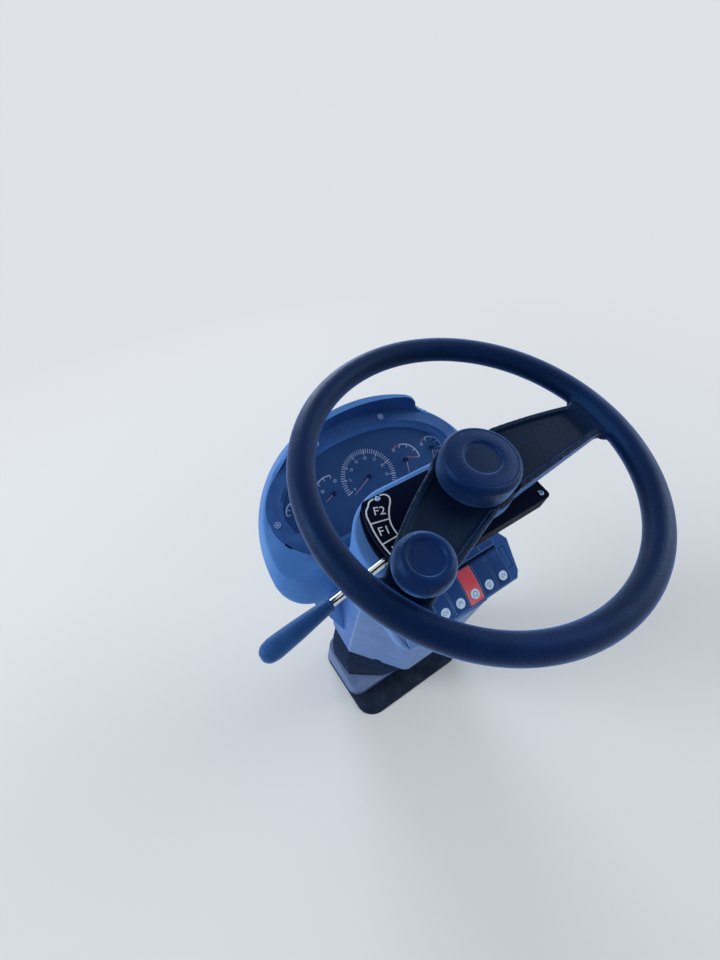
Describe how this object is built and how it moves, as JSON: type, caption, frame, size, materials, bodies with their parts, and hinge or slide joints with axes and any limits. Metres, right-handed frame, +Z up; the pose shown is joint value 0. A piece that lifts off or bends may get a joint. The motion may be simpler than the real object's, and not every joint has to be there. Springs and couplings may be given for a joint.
{
  "type": "tilting steering console of a wheel loader",
  "caption": "Tilting steering column console with wheel and spinner knob, instrument binnacle, gear selector lever, rocker switch tray, cowl, bellows and floor pedestal.",
  "frame": {"origin": "on the cab floor, at the centre of the floor bolts, where the steering axis meets the floor", "axes": "+Z up, +Y towards the front of the machine, +X to its right"},
  "size_m": [0.5303, 0.5797, 0.915],
  "materials": {
    "steel_painted": "satin",
    "steel_bright": "machined",
    "chrome_rod": "polished",
    "rubber": "matt",
    "cowl_plastic": "fine grain",
    "housing_plastic": "fine grain",
    "switch_plastic": "satin",
    "hazard_plastic": "satin",
    "wheel_moulding": "soft grain",
    "selector_plastic": "satin",
    "dial_face": "matt",
    "needle_paint": "painted",
    "clear_lens": "clear"
  },
  "bodies": {
    "pedestal": {"base_plate": "steel_painted", "floor_seal": "rubber", "pedestal_cover": "cowl_plastic", "shaft_bearing": "steel_painted", "pivot_bracket": "steel_painted", "trunnion_pins": "steel_bright", "bellows": "rubber"},
    "lower_shaft": {"lower_shaft": "steel_bright"},
    "column": {"column_jacket": "steel_painted", "cowl_rear": "cowl_plastic", "cowl_front": "cowl_plastic", "neck": "housing_plastic", "binnacle_housing": "housing_plastic", "visor": "housing_plastic", "bezel": "housing_plastic", "lens": "clear_lens", "dial_plate": "dial_face", "gauge_needles": "needle_paint", "switch_tray": "housing_plastic", "rocker_switches": "switch_plastic", "hazard_switch": "hazard_plastic", "switch_blanks": "housing_plastic", "selector_box": "selector_plastic", "selector_plate": "selector_plastic", "selector_spigot": "steel_painted"},
    "wheel": {"steering_wheel": "wheel_moulding", "hub_cap": "wheel_moulding", "steering_shaft": "steel_bright", "knob_pin": "steel_bright"},
    "knob": {"spinner_knob": "wheel_moulding"},
    "lever": {"lever_yoke": "steel_painted", "lever_rod": "chrome_rod", "lever_grip": "wheel_moulding"}
  },
  "joints": [
    {"name": "column_tilt", "type": "hinge", "parent": "pedestal", "child": "column", "pos_m": [0, -0.04574, 0.12169], "axis": [1, 0, 0], "range_deg": [-10, 8]},
    {"name": "wheel_spin", "type": "hinge", "parent": "column", "child": "wheel", "pos_m": [0, -0.27815, 0.74], "axis": [0, -0.3518, 0.9361], "continuous": true},
    {"name": "knob_spin", "type": "hinge", "parent": "wheel", "child": "knob", "pos_m": [-0.13961, -0.34682, 0.72487], "axis": [0, -0.3518, 0.9361], "continuous": true},
    {"name": "lever_swing", "type": "hinge", "parent": "column", "child": "lever", "pos_m": [0, -0.24859, 0.66137], "axis": [0, -0.3518, 0.9361], "range_deg": [-30, 15]},
    {"name": "lower_spin", "type": "hinge", "parent": "pedestal", "child": "lower_shaft", "pos_m": [0, 0, 0], "axis": [0, -0.3518, 0.9361], "continuous": true}
  ],
  "couplings": [
    {"joint": "lower_spin", "follows": "wheel_spin", "ratio": 1}
  ]
}
